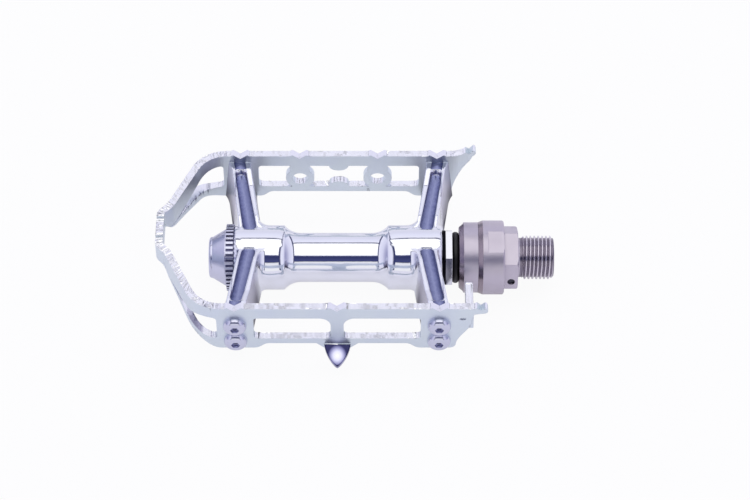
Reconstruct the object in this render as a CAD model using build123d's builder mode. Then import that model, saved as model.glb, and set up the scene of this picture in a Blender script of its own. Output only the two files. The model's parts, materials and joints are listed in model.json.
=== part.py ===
from build123d import *
import math
import os

# Left-hand road bicycle pedal with a quick-release adaptor between its axle and the crank.
# The origin is on the axle's axis, where the crank thread starts beside its relief groove. +X runs along the
# axle to the crank, +Y to the front plate with its two toe-clip holes, and +Z out of the toothed side of the cage.

# Clearances
running_fit = 0.05
press_gap = 0.02
slide_gap = 0.3
end_gap = 0.1

# Angles of a hexagon and of the bevels turned on its corners
hexagon_half_angle = math.radians(30)
bevel_angle = math.radians(30)

# Crank thread and wrench hexagon of the adaptor
thread_diameter = 14.2
thread_length = 11.7
relief_diameter = 12.8
relief_width = 1.3
thread_chamfer = 0.8
wrench_size = 18.4
wrench_width = 4.45
wrench_vertex_angle = 22.8
wrench_chamfer = 0.7

# Barrel of the adaptor, its bore and its drive socket
barrel_diameter = 17.2
bore_chamfer = 0.5
socket_depth = 6.0
socket_floor = 3.0
drive_size = 10.0

# Quick-release collar, its spring and its locking balls
collar_height = 3.45
collar_width = 8.4
collar_web = 2.5
collar_skin = 1.15
collar_nose_step = 0.6
collar_nose_length = 1.5
collar_edge = 0.4
collar_flat_depth = 0.6
collar_flat_length = 5.3
collar_flat_angle = 103.5
spring_wire = 0.8
spring_turns = 2.25
spring_washer_width = 0.6
locking_ball_diameter = 3.0
locking_ball_count = 6
stop_pin_diameter = 2.4
stop_pin_length = 3.2
stop_pin_angle = 186.5
stop_pin_place = 2.2
stop_pin_chamfer = 0.2

# Nose ring that closes the adaptor
nose_width = 6.1
nose_lip_width = 1.6
nose_face_depth = 1.55
nose_step_depth = 0.35
nose_bevel_length = 1.4

# Axle
o_ring_width = 2.3
o_ring_diameter = 16.7
axle_plug_diameter = 12.6
axle_hex_size = 17.4
axle_hex_width = 3.2
axle_hex_vertex_angle = 11.5
axle_hex_chamfer = 0.9
axle_collar_height = 1.0
axle_collar_width = 1.6
axle_taper_start_diameter = 11.2
axle_taper_end_diameter = 9.6
axle_thread_diameter = 6.0
axle_thread_length = 5.9
axle_tip_length = 0.8
axle_end_chamfer = 0.5

# Body: a turned hub with two enlarged bearing seats
hub_length = 67.4
hub_seat_diameter = 21.0
hub_waist_diameter = 16.0
left_seat_length = 16.2
right_seat_length = 17.3
flare_length = 5.4
hub_bore_diameter = 12.4
hub_end_chamfer = 0.4

# Bearings: one wide thin ring beside the crank, two small ones under the dust cap
inboard_bore = 12.0
inboard_outside = 18.0
inboard_width = 4.0
inboard_ball = 1.9
inboard_ball_count = 10
outboard_bore = 8.0
outboard_outside = 16.0
outboard_width = 5.0
outboard_ball = 2.3
outboard_ball_count = 8
race_share = 0.24
seal_width = 0.35
seal_inset = 0.1
spacer_width = 1.2
hub_seal_width = 1.4

# Lock washer and nut on the axle's outer end
washer_width = 1.0
washer_diameter = 10.8
nut_size = 10.0
nut_width = 4.0
nut_chamfer = 0.4

# Dust cap
cap_thread_diameter = 17.1
cap_thread_length = 3.6
cap_knurl_diameter = 21.8
cap_knurl_width = 2.4
cap_tooth_count = 40
cap_tooth_depth = 0.55
cap_shoulder_diameter = 18.4
cap_cone_length = 4.2
cap_end_diameter = 13.4
cap_rim_width = 0.4
cap_crown_length = 1.1
cap_crown_diameter = 11.6
cap_hollow_diameter = 13.0
cap_wall = 2.2

# Arms between the hub and the cage plates
arm_spacing_at_hub = 56.0
arm_spacing_at_plate = 64.7
arm_width = 6.6
arm_draft = 5.0
arm_overrun = 3.0
arm_rim_height = 10.5
arm_end_height = 12.0
arm_bottom = -4.9
arm_rise_length = 5.5
pad_outboard = 4.2
pad_inboard = 3.6
pad_length = 4.2
groove_width = 4.6
groove_end_width = 3.8
groove_end_shift = 0.4
groove_floor = 9.2
groove_start = 4.0
groove_corner = 1.3
groove_end_margin = 3.2
lower_groove_depth = 2.6
arm_root_fillet = 4.0

# Cage: one bent band with pierced windows
plate_gap = 61.6
cage_thickness = 2.4
cage_top = 15.0
cage_bottom = -4.9
rail_bottom = -2.6
upper_rail_height = 4.9
window_floor = 0.0
solid_width = 11.6
solid_run_out = 5.0
column_width = 4.1
window_corner = 1.2
window_round = 3.6
notch_width = 4.6
notch_depth = 1.4
end_notch_spacing = 8.0
end_notch_width = 1.8
cage_end = 58.5
end_face_width = 12.4
end_shoulder = 2.8
end_shoulder_width = 18.4
bend_start = 43.1
bend_radius = 10.0
shoulder_radius = 5.0
end_radius = 1.4
end_bottom = 8.4
end_band_bottom = 5.6
flare_start = 38.4
flare_out = 2.4
flare_radius = 8.0
flare_overrun = 2.0

notch_lip = 0.6
notch_lip_height = 0.4
end_rise_curve = 5.0
end_window_rise = 0.8
end_window_curve = 8.0
end_run_in = 1.0
cage_stock = 1.0

# Crank side of the plates: distances from the right-hand screws, with heights
rear_horn_reach = 15.2
front_horn_reach = 12.9
horn_height = 2.9
horn_round = 0.8
horn_tip_radius = 1.2
horn_notch_inset = 2.2
horn_notch_width = 2.6
horn_notch_depth = 0.9
foot_round = 2.0
rear_edge_places = ((10.2, 9.4), (9.0, 4.7), (6.5, 0.6), (5.4, -2.9))
front_edge_places = ((10.9, 10.8), (7.3, 5.6), (5.6, 0.6), (5.0, -2.9))

# Toe-clip rings on the front plate
ring_spacing = 25.7
ring_diameter = 9.4
ring_hole_diameter = 5.2
ring_height = 3.8
ring_neck_width = 6.6
bump_width = 6.4
bump_height = 2.3

# Flip tab under the rear plate
tab_width = 8.5
tab_reach = 6.6
tab_drop = 2.6
tab_point = 0.8
tab_root_flare = 2.4

# Strap guide bent in from the rear plate
guide_width = 2.4
guide_reach = 13.6
guide_bottom = 5.2
guide_top = 10.3
guide_place = 10.8
guide_round = 2.4
guide_relief_length = 2.0
guide_relief_width = 0.8
guide_relief_drop = 0.5

# Cage screws
screw_diameter = 4.0
screw_length = 9.0
screw_head_diameter = 7.5
screw_head_height = 2.2
screw_head_rim = 0.4
screw_head_flat = 3.8
screw_socket_size = 2.5
screw_socket_depth = 1.3
screw_upper_height = 6.6
screw_pitch = 7.6
screw_hole_clearance = 0.2
tapped_depth = 11.0

# Places along the axle that follow from the sizes above
shoulder = -relief_width
thread_end = shoulder + thread_length
collar_right = shoulder - wrench_width - end_gap / 2
collar_left = collar_right - collar_width
nose_left = collar_left - nose_width
flange_right = nose_left - o_ring_width
flange_left = flange_right - axle_hex_width
hub_right = flange_left - end_gap
hub_left = hub_right - hub_length
hub_center = (hub_left + hub_right) / 2
inboard_right = flange_left - axle_collar_width
inboard_left = inboard_right - inboard_width
cap_seat = hub_left + cap_thread_length + end_gap
outer_bearing_left = cap_seat
outer_bearing_right = outer_bearing_left + outboard_width
middle_bearing_left = outer_bearing_right + spacer_width
middle_bearing_right = middle_bearing_left + outboard_width
washer_left = outer_bearing_left - washer_width
nut_left = washer_left - nut_width
axle_left = nut_left - axle_tip_length
axle_collar_diameter = inboard_bore + 2 * axle_collar_height
ball_plane = collar_left + collar_web / 2 + end_gap
web_right = collar_left + collar_web
collar_diameter = barrel_diameter + 2 * collar_height
collar_nose_diameter = collar_diameter - 2 * collar_nose_step
collar_flat_size = collar_diameter - 2 * collar_flat_depth
nose_diameter = collar_nose_diameter
nose_step_diameter = nose_diameter - 2 * nose_step_depth
nose_face_diameter = nose_diameter - 2 * nose_face_depth
pocket_diameter = collar_diameter - 2 * collar_skin
spring_seat = collar_right - spring_washer_width
plate_inside = plate_gap / 2
plate_outside = plate_inside + cage_thickness
screw_heights = (screw_upper_height, screw_upper_height - screw_pitch)


def ring(left, width, outside, inside):
    """Adds a plain turned ring about the axle to the part being built."""
    with BuildSketch(Plane.YZ.offset(left)) as section:
        Circle(outside / 2)
        Circle(inside / 2, mode=Mode.SUBTRACT)
    extrude(section.sketch, amount=width)


def turned(points, mode=Mode.ADD):
    """Revolves an outline of (along the axle, radius) points about the axle."""
    with BuildSketch(Plane.XZ) as section:
        with BuildLine():
            Polyline(*points, close=True)
        make_face()
    revolve(section.sketch, axis=Axis.X, mode=mode)


def turn_corner(left, radius, size, way):
    """Turns a 30 degree bevel off a hexagon's corners, at an end that faces the way given."""
    turned(
        [
            (left, radius - size),
            (left, radius + size),
            (left - way * size, radius + size),
            (left - way * size * math.tan(bevel_angle), radius),
        ],
        mode=Mode.SUBTRACT,
    )


def corner_radius(size):
    """Gives the radius to the corners of a hexagon from its size across flats."""
    return size / 2 / math.cos(hexagon_half_angle)


def at_angle(radius, angle):
    """Gives the y and z of a point at a radius and an angle about the axle, counted from +Y."""
    return radius * math.cos(math.radians(angle)), radius * math.sin(math.radians(angle))


# Adaptor body: thread, wrench hexagon and barrel in one piece
barrel_end = nose_left + nose_lip_width
plug_bore = axle_plug_diameter + 2 * running_fit
socket_mouth = shoulder - socket_floor - socket_depth
with BuildPart() as adaptor_body:
    turned(
        [
            (barrel_end, 0),
            (barrel_end, barrel_diameter / 2),
            (shoulder, barrel_diameter / 2),
            (shoulder, relief_diameter / 2),
            (0, relief_diameter / 2),
            (0, thread_diameter / 2),
            (thread_end - thread_chamfer, thread_diameter / 2),
            (thread_end, thread_diameter / 2 - thread_chamfer),
            (thread_end, 0),
        ]
    )
    with BuildSketch(Plane.YZ.offset(shoulder - wrench_width)):
        RegularPolygon(wrench_size / 2, 6, major_radius=False, rotation=wrench_vertex_angle)
    extrude(amount=wrench_width)
    turn_corner(shoulder, corner_radius(wrench_size), wrench_chamfer, 1)
    with BuildSketch(Plane.YZ.offset(barrel_end)):
        Circle(plug_bore / 2)
    extrude(amount=socket_mouth - barrel_end, mode=Mode.SUBTRACT)
    with BuildSketch(Plane.YZ.offset(socket_mouth)):
        RegularPolygon(drive_size / 2 + running_fit, 6, major_radius=False)
    extrude(amount=socket_depth, mode=Mode.SUBTRACT)
    mouth = adaptor_body.edges().filter_by(GeomType.CIRCLE).group_by(Axis.X)[0].sort_by(SortBy.RADIUS)[0]
    chamfer(mouth, bore_chamfer)
    for index in range(locking_ball_count):
        angle = 360 / locking_ball_count * index
        with BuildSketch(Plane.XY.rotated((angle, 0, 0))):
            with Locations((ball_plane, 0)):
                Circle(locking_ball_diameter / 2 + running_fit)
        extrude(amount=barrel_diameter, mode=Mode.SUBTRACT)
    pin_y, pin_z = at_angle(1, stop_pin_angle)
    pin_hole = Plane(origin=(shoulder - stop_pin_place, 0, 0), x_dir=(1, 0, 0), z_dir=(0, pin_y, pin_z))
    pin_top = wrench_size / 2
    with BuildSketch(pin_hole.offset(pin_top - stop_pin_length)):
        Circle(stop_pin_diameter / 2 + press_gap)
    extrude(amount=2 * stop_pin_length, mode=Mode.SUBTRACT)
adaptor_body.part.label = "adaptor_body"

# Stop pin pressed into the wrench hexagon, with a rounded outer end
with BuildPart() as stop_pin:
    with BuildSketch(pin_hole.offset(pin_top - stop_pin_length + press_gap)):
        Circle(stop_pin_diameter / 2)
    extrude(amount=stop_pin_length)
    chamfer(stop_pin.edges().sort_by(Axis((0, 0, 0), (0, pin_y, pin_z)))[-1], stop_pin_chamfer)
stop_pin.part.label = "stop_pin"

# Nose ring: the bevelled mouth that the pedal's axle enters
with BuildPart() as nose_ring:
    turned(
        [
            (nose_left, plug_bore / 2 + bore_chamfer / 2),
            (nose_left, nose_face_diameter / 2),
            (nose_left + nose_bevel_length, nose_step_diameter / 2),
            (nose_left + nose_bevel_length, nose_diameter / 2),
            (collar_left - end_gap / 2, nose_diameter / 2),
            (collar_left - end_gap / 2, barrel_diameter / 2 + press_gap),
            (barrel_end - end_gap / 2, barrel_diameter / 2 + press_gap),
            (barrel_end - end_gap / 2, plug_bore / 2 + bore_chamfer / 2),
        ]
    )
nose_ring.part.label = "nose_ring"

# Release collar: grip flats outside, a locking web and a spring pocket inside
with BuildPart() as release_collar:
    turned(
        [
            (collar_left, barrel_diameter / 2 + running_fit),
            (collar_left, collar_nose_diameter / 2),
            (collar_left + collar_nose_length, collar_diameter / 2),
            (collar_right - collar_edge, collar_diameter / 2),
            (collar_right, collar_diameter / 2 - collar_edge),
            (collar_right, pocket_diameter / 2),
            (web_right, pocket_diameter / 2),
            (web_right, barrel_diameter / 2 + running_fit),
        ]
    )
    flat_y, flat_z = at_angle(1, collar_flat_angle)
    for side in (1, -1):
        flat = Plane(origin=(0, 0, 0), x_dir=(1, 0, 0), z_dir=(0, side * flat_y, side * flat_z))
        with BuildSketch(flat.offset(collar_flat_size / 2)):
            with Locations((collar_right, 0)):
                Rectangle(collar_flat_length, collar_diameter, align=(Align.MAX, Align.CENTER))
        extrude(amount=collar_diameter, mode=Mode.SUBTRACT)
release_collar.part.label = "release_collar"

# Washer under the spring, which turns with the collar
with BuildPart() as spring_washer:
    ring(
        spring_seat,
        spring_washer_width,
        pocket_diameter - 2 * slide_gap,
        barrel_diameter + 2 * running_fit,
    )
spring_washer.part.label = "spring_washer"

# Collar spring: a short round-wire coil between the web and the washer
spring_length = spring_seat - web_right
spring_radius = (barrel_diameter / 2 + pocket_diameter / 2) / 2
spring_pitch = (spring_length - spring_wire - end_gap) / spring_turns
with BuildPart() as collar_spring:
    with BuildLine() as coil:
        Helix(
            pitch=spring_pitch,
            height=spring_pitch * spring_turns,
            radius=spring_radius,
            center=(web_right + spring_wire / 2 + end_gap / 2, 0, 0),
            direction=(1, 0, 0),
        )
    with BuildSketch(Plane(origin=coil.line @ 0, z_dir=coil.line % 0)):
        Circle(spring_wire / 2)
    sweep()
collar_spring.part.label = "collar_spring"

# Locking balls: they sit in the barrel's holes and reach into the axle's groove
locking_ball_radius = barrel_diameter / 2 - locking_ball_diameter / 2
with BuildPart() as locking_balls:
    for index in range(locking_ball_count):
        angle = 360 / locking_ball_count * index + 90
        with Locations((ball_plane, *at_angle(locking_ball_radius, angle))):
            Sphere(locking_ball_diameter / 2)
locking_balls.part.label = "locking_balls"

# O-ring between the axle's flange and the nose ring
o_ring_height = (o_ring_diameter - axle_plug_diameter) / 2 - press_gap
with BuildPart() as o_ring:
    with BuildSketch(Plane.XZ):
        with Locations((flange_right + o_ring_width / 2, o_ring_diameter / 2 - o_ring_height / 2)):
            Ellipse(o_ring_width / 2 - press_gap, o_ring_height / 2)
    revolve(axis=Axis.X)
o_ring.part.label = "o_ring"

# Axle: drive end and ball groove, hexagon flange, bearing seats and a threaded outer end
drive_right = shoulder - socket_floor - end_gap
drive_left = socket_mouth - end_gap
with BuildPart() as axle:
    turned(
        [
            (axle_left, 0),
            (axle_left, axle_thread_diameter / 2 - axle_end_chamfer),
            (axle_left + axle_end_chamfer, axle_thread_diameter / 2),
            (axle_left + axle_thread_length, axle_thread_diameter / 2),
            (axle_left + axle_thread_length, outboard_bore / 2 - press_gap),
            (middle_bearing_right, outboard_bore / 2 - press_gap),
            (middle_bearing_right, axle_taper_end_diameter / 2),
            (inboard_left - end_gap, axle_taper_start_diameter / 2),
            (inboard_left - end_gap, inboard_bore / 2 - press_gap),
            (inboard_right, inboard_bore / 2 - press_gap),
            (inboard_right, axle_collar_diameter / 2),
            (flange_right, axle_collar_diameter / 2),
            (flange_right, 0),
        ]
    )
    with BuildSketch(Plane.YZ.offset(flange_right)):
        Circle(axle_plug_diameter / 2)
    extrude(amount=drive_left - flange_right)
    with BuildSketch(Plane.YZ.offset(flange_left)):
        RegularPolygon(axle_hex_size / 2, 6, major_radius=False, rotation=axle_hex_vertex_angle)
    extrude(amount=axle_hex_width)
    turn_corner(flange_left, corner_radius(axle_hex_size), axle_hex_chamfer, -1)
    with BuildSketch(Plane.YZ.offset(drive_left)):
        RegularPolygon(drive_size / 2, 6, major_radius=False)
    extrude(amount=drive_right - drive_left)
    chamfer(axle.faces().sort_by(Axis.X)[-1].edges(), axle_end_chamfer)
    with BuildSketch(Plane.XZ):
        with Locations((ball_plane, locking_ball_radius)):
            Circle(locking_ball_diameter / 2 + running_fit)
    revolve(axis=Axis.X, mode=Mode.SUBTRACT)
axle.part.label = "axle"


def bearing(name, left, width, bore, outside, ball, count):
    """Makes the races, balls and seals of one sealed ball bearing and returns them as labelled parts."""
    middle = left + width / 2
    pitch = (bore + outside) / 2
    race = (outside - bore) / 2 * race_share
    groove = ball / 2 + running_fit
    with BuildPart() as outer_race:
        ring(left, width, outside - 2 * press_gap, outside - 2 * race)
        with BuildSketch(Plane.XZ):
            with Locations((middle, pitch / 2)):
                Circle(groove)
        revolve(axis=Axis.X, mode=Mode.SUBTRACT)
    outer_race.part.label = f"{name}_outer_race"
    with BuildPart() as inner_race:
        ring(left, width, bore + 2 * race, bore)
        with BuildSketch(Plane.XZ):
            with Locations((middle, pitch / 2)):
                Circle(groove)
        revolve(axis=Axis.X, mode=Mode.SUBTRACT)
    inner_race.part.label = f"{name}_inner_race"
    with BuildPart() as balls:
        for index in range(count):
            with Locations((middle, *at_angle(pitch / 2, 360 / count * index))):
                Sphere(ball / 2)
    balls.part.label = f"{name}_balls"
    with BuildPart() as seals:
        for place in (left + seal_inset, left + width - seal_inset - seal_width):
            ring(place, seal_width, outside - 2 * race - 2 * press_gap, bore + 2 * race + 4 * running_fit)
    seals.part.label = f"{name}_seals"
    return [outer_race.part, inner_race.part, balls.part, seals.part]


inboard_sizes = (inboard_width, inboard_bore, inboard_outside, inboard_ball, inboard_ball_count)
outboard_sizes = (outboard_width, outboard_bore, outboard_outside, outboard_ball, outboard_ball_count)
bearing_parts = [
    *bearing("inner_bearing", inboard_left, *inboard_sizes),
    *bearing("middle_bearing", middle_bearing_left, *outboard_sizes),
    *bearing("outer_bearing", outer_bearing_left, *outboard_sizes),
]

# Spacer between the outer races of the two small bearings
with BuildPart() as bearing_spacer:
    ring(
        outer_bearing_right,
        spacer_width,
        outboard_outside - 2 * press_gap,
        outboard_outside - (outboard_outside - outboard_bore) * race_share,
    )
bearing_spacer.part.label = "bearing_spacer"

# Spacer between their inner races
with BuildPart() as axle_spacer:
    ring(
        outer_bearing_right,
        spacer_width,
        outboard_bore + (outboard_outside - outboard_bore) * race_share,
        outboard_bore,
    )
axle_spacer.part.label = "axle_spacer"

# Rubber seal in the hub's mouth beside the axle's flange
with BuildPart() as hub_seal:
    ring(
        inboard_right + end_gap / 2,
        hub_seal_width,
        inboard_outside - 2 * press_gap,
        axle_collar_diameter + 4 * running_fit,
    )
hub_seal.part.label = "hub_seal"

# Lock washer and lock nut on the axle's thread
with BuildPart() as lock_washer:
    ring(washer_left, washer_width, washer_diameter, axle_thread_diameter + 2 * running_fit)
lock_washer.part.label = "lock_washer"

with BuildPart() as lock_nut:
    with BuildSketch(Plane.YZ.offset(nut_left)):
        RegularPolygon(nut_size / 2, 6, major_radius=False)
        Circle(axle_thread_diameter / 2 + press_gap, mode=Mode.SUBTRACT)
    extrude(amount=nut_width)
    turn_corner(nut_left, corner_radius(nut_size), nut_chamfer, -1)
lock_nut.part.label = "lock_nut"

# Dust cap: screwed into the hub, with a knurled rim, a cone and a crowned end
cap_right = hub_left - end_gap
knurl_left = cap_right - cap_knurl_width
cone_left = knurl_left - cap_rim_width - cap_cone_length
cap_left = cone_left - cap_crown_length
with BuildPart() as dust_cap:
    with BuildSketch(Plane.XZ):
        with BuildLine():
            Line((cap_left, 0), (cap_left, cap_crown_diameter / 2))
            TangentArc(
                (cap_left, cap_crown_diameter / 2),
                (cone_left, cap_end_diameter / 2),
                tangent=(0, 1),
            )
            Polyline(
                (cone_left, cap_end_diameter / 2),
                (knurl_left - cap_rim_width, cap_shoulder_diameter / 2),
                (knurl_left, cap_shoulder_diameter / 2),
                (knurl_left, cap_knurl_diameter / 2),
                (cap_right, cap_knurl_diameter / 2),
                (cap_right, cap_thread_diameter / 2 - press_gap),
                (hub_left + cap_thread_length, cap_thread_diameter / 2 - press_gap),
                (hub_left + cap_thread_length, cap_hollow_diameter / 2),
                (cap_left + cap_wall + cap_crown_length, cap_hollow_diameter / 2),
                (cap_left + cap_wall, cap_hollow_diameter / 2 - cap_crown_length),
                (cap_left + cap_wall, 0),
                (cap_left, 0),
            )
        make_face()
    revolve(axis=Axis.X)
    with BuildSketch(Plane.YZ.offset(knurl_left)):
        with PolarLocations(cap_knurl_diameter / 2, cap_tooth_count):
            Rectangle(2 * cap_tooth_depth, math.pi * cap_knurl_diameter / cap_tooth_count / 2)
    extrude(amount=cap_knurl_width, mode=Mode.SUBTRACT)
dust_cap.part.label = "dust_cap"

# Pedal body: the hub and its four channel-shaped arms, forged and turned as one piece
seat_radius = hub_seat_diameter / 2
waist_radius = hub_waist_diameter / 2
left_seat_end = hub_left + left_seat_length
right_seat_end = hub_right - right_seat_length
arm_lean = (arm_spacing_at_plate - arm_spacing_at_hub) / 2 / plate_inside


def groove_plan(side_x, side_y, reach):
    """Draws the groove in an arm from above, from inside the hub to a round end at its reach."""
    root_x = hub_center + side_x * arm_spacing_at_hub / 2
    slope = side_x * arm_lean
    half = groove_width / 2
    end_half = groove_end_width / 2
    straight = reach - end_half
    end_x = root_x + side_x * groove_end_shift
    with BuildLine() as outline:
        FilletPolyline(
            (end_x + slope * straight - end_half, side_y * straight),
            (root_x + slope * groove_start - half, side_y * groove_start),
            (root_x + slope * groove_start + half, side_y * groove_start),
            (end_x + slope * straight + end_half, side_y * straight),
            radius=groove_corner,
        )
        ThreePointArc(
            (end_x + slope * straight + end_half, side_y * straight),
            (end_x + slope * reach, side_y * reach),
            (end_x + slope * straight - end_half, side_y * straight),
        )
    make_face(outline.edges())


# Four splayed arms with sloping sides, each flared into a pad, cut at its plate and clear of the cap and axle
with BuildPart() as arms:
    with BuildSketch(Plane.XY.offset(arm_bottom)):
        foot_x = hub_center + arm_spacing_at_hub / 2
        foot_spread = (arm_rim_height - arm_bottom) * math.tan(math.radians(arm_draft))
        foot_half = arm_width / 2 + foot_spread
        neck = plate_inside - pad_length
        pad_right = foot_x + arm_lean * plate_inside + pad_outboard + foot_spread
        pad_left = foot_x + arm_lean * plate_inside - pad_inboard - foot_spread
        with BuildLine():
            Polyline(
                (foot_x + arm_lean * neck - foot_half, neck),
                (foot_x - arm_lean * arm_overrun - foot_half, -arm_overrun),
                (foot_x - arm_lean * arm_overrun + foot_half, -arm_overrun),
                (foot_x + arm_lean * neck + foot_half, neck),
            )
            TangentArc(
                (foot_x + arm_lean * neck + foot_half, neck),
                (pad_right, plate_inside),
                tangent=(arm_lean, 1),
            )
            Polyline(
                (pad_right, plate_inside),
                (pad_right, plate_inside + arm_overrun),
                (pad_left, plate_inside + arm_overrun),
                (pad_left, plate_inside),
            )
            TangentArc(
                (foot_x + arm_lean * neck - foot_half, neck),
                (pad_left, plate_inside),
                tangent=(arm_lean, 1),
            )
        make_face()
    extrude(amount=arm_end_height - arm_bottom, taper=arm_draft)
    mirror(about=Plane.XZ)
    mirror(about=Plane.YZ.offset(hub_center))
    with Locations((hub_center, 0, arm_bottom)):
        Box(
            2 * hub_length,
            plate_gap,
            arm_end_height - arm_bottom,
            align=(Align.CENTER, Align.CENTER, Align.MIN),
            mode=Mode.INTERSECT,
        )
    for hub_end, side in ((hub_left, Align.MAX), (hub_right, Align.MIN)):
        with Locations((hub_end, 0, 0)):
            Cylinder(
                cap_knurl_diameter / 2 + slide_gap,
                arm_width,
                rotation=(0, 90, 0),
                align=(Align.CENTER, Align.CENTER, side),
                mode=Mode.SUBTRACT,
            )

# The arms' inner sides run into the round hub in a hollow, which a turned ring cut to the arms' height gives
with BuildPart() as arm_roots:
    for side_x in (-1, 1):
        side_at_axis = hub_center + side_x * (arm_spacing_at_hub - arm_width) / 2
        side_at_hub = side_at_axis + side_x * arm_lean * seat_radius
        side_at_top = side_at_axis + side_x * arm_lean * (seat_radius + arm_root_fillet)
        with BuildSketch(Plane.XZ):
            with BuildLine():
                Polyline(
                    (side_at_top, seat_radius + arm_root_fillet),
                    (side_at_top + side_x * arm_width / 2, seat_radius + arm_root_fillet),
                    (side_at_top + side_x * arm_width / 2, waist_radius),
                    (side_at_hub - side_x * arm_root_fillet, waist_radius),
                    (side_at_hub - side_x * arm_root_fillet, seat_radius),
                )
                TangentArc(
                    (side_at_hub - side_x * arm_root_fillet, seat_radius),
                    (side_at_top, seat_radius + arm_root_fillet),
                    tangent=(side_x, 0),
                )
            make_face()
        revolve(axis=Axis.X)
    with Locations((hub_center, 0, arm_bottom)):
        Box(
            hub_length,
            plate_gap,
            arm_rim_height - arm_bottom,
            align=(Align.CENTER, Align.CENTER, Align.MIN),
            mode=Mode.INTERSECT,
        )

# The body: arms, their roots and the turned hub joined, grooved and bored
with BuildPart() as pedal_body:
    add(arms.part)
    with BuildSketch(Plane.YZ.offset(hub_left)):
        with BuildLine():
            Polyline(
                (-plate_inside, arm_end_height + end_gap),
                (-plate_inside, arm_end_height),
                (-plate_inside + groove_end_margin, arm_end_height),
                (-plate_inside + groove_end_margin + arm_rise_length, arm_rim_height),
                (plate_inside - groove_end_margin - arm_rise_length, arm_rim_height),
                (plate_inside - groove_end_margin, arm_end_height),
                (plate_inside, arm_end_height),
                (plate_inside, arm_end_height + end_gap),
                close=True,
            )
        make_face()
    extrude(amount=hub_length, mode=Mode.SUBTRACT)
    add(arm_roots.part)
    for side_x in (-1, 1):
        for side_y in (-1, 1):
            with BuildSketch(Plane.XY.offset(arm_bottom)):
                groove_plan(side_x, side_y, plate_inside - groove_end_margin)
            extrude(amount=lower_groove_depth, mode=Mode.SUBTRACT)
    with BuildSketch(Plane.XZ):
        with BuildLine():
            Polyline(
                (left_seat_end, seat_radius),
                (hub_left + hub_end_chamfer, seat_radius),
                (hub_left, seat_radius - hub_end_chamfer),
                (hub_left, 0),
                (hub_right, 0),
                (hub_right, seat_radius - hub_end_chamfer),
                (hub_right - hub_end_chamfer, seat_radius),
                (right_seat_end, seat_radius),
            )
            TangentArc(
                (left_seat_end + flare_length, waist_radius),
                (left_seat_end, seat_radius),
                tangent=(-1, 0),
            )
            Line((left_seat_end + flare_length, waist_radius), (right_seat_end - flare_length, waist_radius))
            TangentArc(
                (right_seat_end - flare_length, waist_radius),
                (right_seat_end, seat_radius),
                tangent=(1, 0),
            )
        make_face()
    revolve(axis=Axis.X)
    for side_x in (-1, 1):
        for side_y in (-1, 1):
            with BuildSketch(Plane.XY.offset(groove_floor)):
                groove_plan(side_x, side_y, plate_inside - groove_end_margin)
            extrude(amount=arm_end_height, mode=Mode.SUBTRACT)
    bore = [
        (hub_left, 0),
        (hub_left, cap_thread_diameter / 2),
        (cap_seat, cap_thread_diameter / 2),
        (cap_seat, outboard_outside / 2),
        (middle_bearing_right, outboard_outside / 2),
        (middle_bearing_right, hub_bore_diameter / 2),
        (inboard_left, hub_bore_diameter / 2),
        (inboard_left, inboard_outside / 2),
        (hub_right, inboard_outside / 2),
        (hub_right, 0),
    ]
    turned(bore, mode=Mode.SUBTRACT)
    for side_y in (-1, 1):
        pad_face = Plane.XZ.offset(-side_y * plate_inside)
        with BuildSketch(pad_face):
            for side_x in (-1, 1):
                for height in screw_heights:
                    with Locations((hub_center + side_x * arm_spacing_at_plate / 2, height)):
                        Circle(screw_diameter / 2 + press_gap)
        extrude(amount=side_y * tapped_depth, mode=Mode.SUBTRACT)
pedal_body.part.label = "pedal_body"

# Cage screws: eight button-head screws with hexagon sockets, two at each arm
with BuildPart() as cage_screws:
    for side_x in (-1, 1):
        for side_y in (-1, 1):
            for height in screw_heights:
                place = (hub_center + side_x * arm_spacing_at_plate / 2, side_y * plate_outside, height)
                with BuildSketch(Plane(origin=place, x_dir=(1, 0, 0), z_dir=(0, 0, side_y))):
                    with BuildLine():
                        Polyline(
                            (screw_head_diameter / 2, screw_head_rim),
                            (screw_head_diameter / 2, 0),
                            (screw_diameter / 2, 0),
                            (screw_diameter / 2, -screw_length),
                            (0, -screw_length),
                            (0, screw_head_height),
                            (screw_head_flat / 2, screw_head_height),
                        )
                        TangentArc(
                            (screw_head_flat / 2, screw_head_height),
                            (screw_head_diameter / 2, screw_head_rim),
                            tangent=(1, 0),
                        )
                    make_face()
                revolve(axis=Axis(place, (0, side_y, 0)))
                outward = Plane(origin=place, x_dir=(1, 0, 0), z_dir=(0, side_y, 0))
                with BuildSketch(outward.offset(screw_head_height - screw_socket_depth)):
                    RegularPolygon(screw_socket_size / 2, 6, major_radius=False)
                extrude(amount=screw_head_height, mode=Mode.SUBTRACT)
cage_screws.part.label = "cage_screws"

# Cage: one band bent round the outer end, cut to a different outline on its rear and front plates
arm_left = hub_center - arm_spacing_at_plate / 2
arm_right = hub_center + arm_spacing_at_plate / 2
end_inside = hub_center - cage_end + cage_thickness
window_top = cage_top - upper_rail_height
cut_reach = 2 * plate_outside


def notch(place, width, depth):
    """Lists the points of one V notch with raised lips in the top outline, from left to right."""
    return [
        (place - width / 2 - notch_lip, cage_top),
        (place - width / 2, cage_top + notch_lip_height),
        (place, cage_top - depth),
        (place + width / 2, cage_top + notch_lip_height),
        (place + width / 2 + notch_lip, cage_top),
    ]


def notched_top(places, horn_tip):
    """Lists the top outline's points, with a V notch at each place and a small one near the horn's tip."""
    points = []
    for place in places:
        points += notch(place, notch_width, notch_depth)
    return points + notch(horn_tip - horn_notch_inset, horn_notch_width, horn_notch_depth)


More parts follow.
